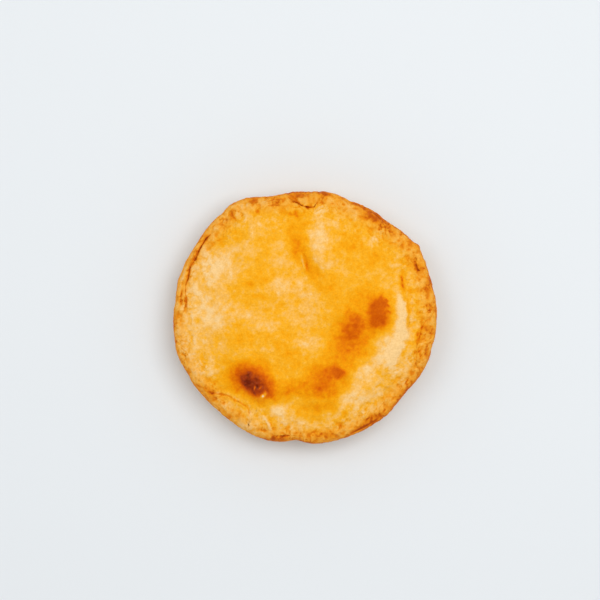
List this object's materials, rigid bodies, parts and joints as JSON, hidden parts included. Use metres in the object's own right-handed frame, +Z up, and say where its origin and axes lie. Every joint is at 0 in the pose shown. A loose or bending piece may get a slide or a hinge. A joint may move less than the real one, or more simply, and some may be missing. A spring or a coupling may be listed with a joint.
{
  "type": "chicken pie",
  "caption": "Small round double-crust pie, golden and egg-washed, with a folded uneven rim, a vent slit and browned blisters.",
  "frame": {"origin": "on the table, under the middle of the pie's bounding box", "axes": "+Z up; +X to the right and +Y away from the eater, as seen from above"},
  "size_m": [0.1594, 0.1526, 0.035],
  "materials": {
    "crust": "baked pastry: golden egg wash with a soft sheen, browner at the rim and on the blisters"
  },
  "bodies": {
    "root": {"pie": "crust"}
  },
  "joints": []
}
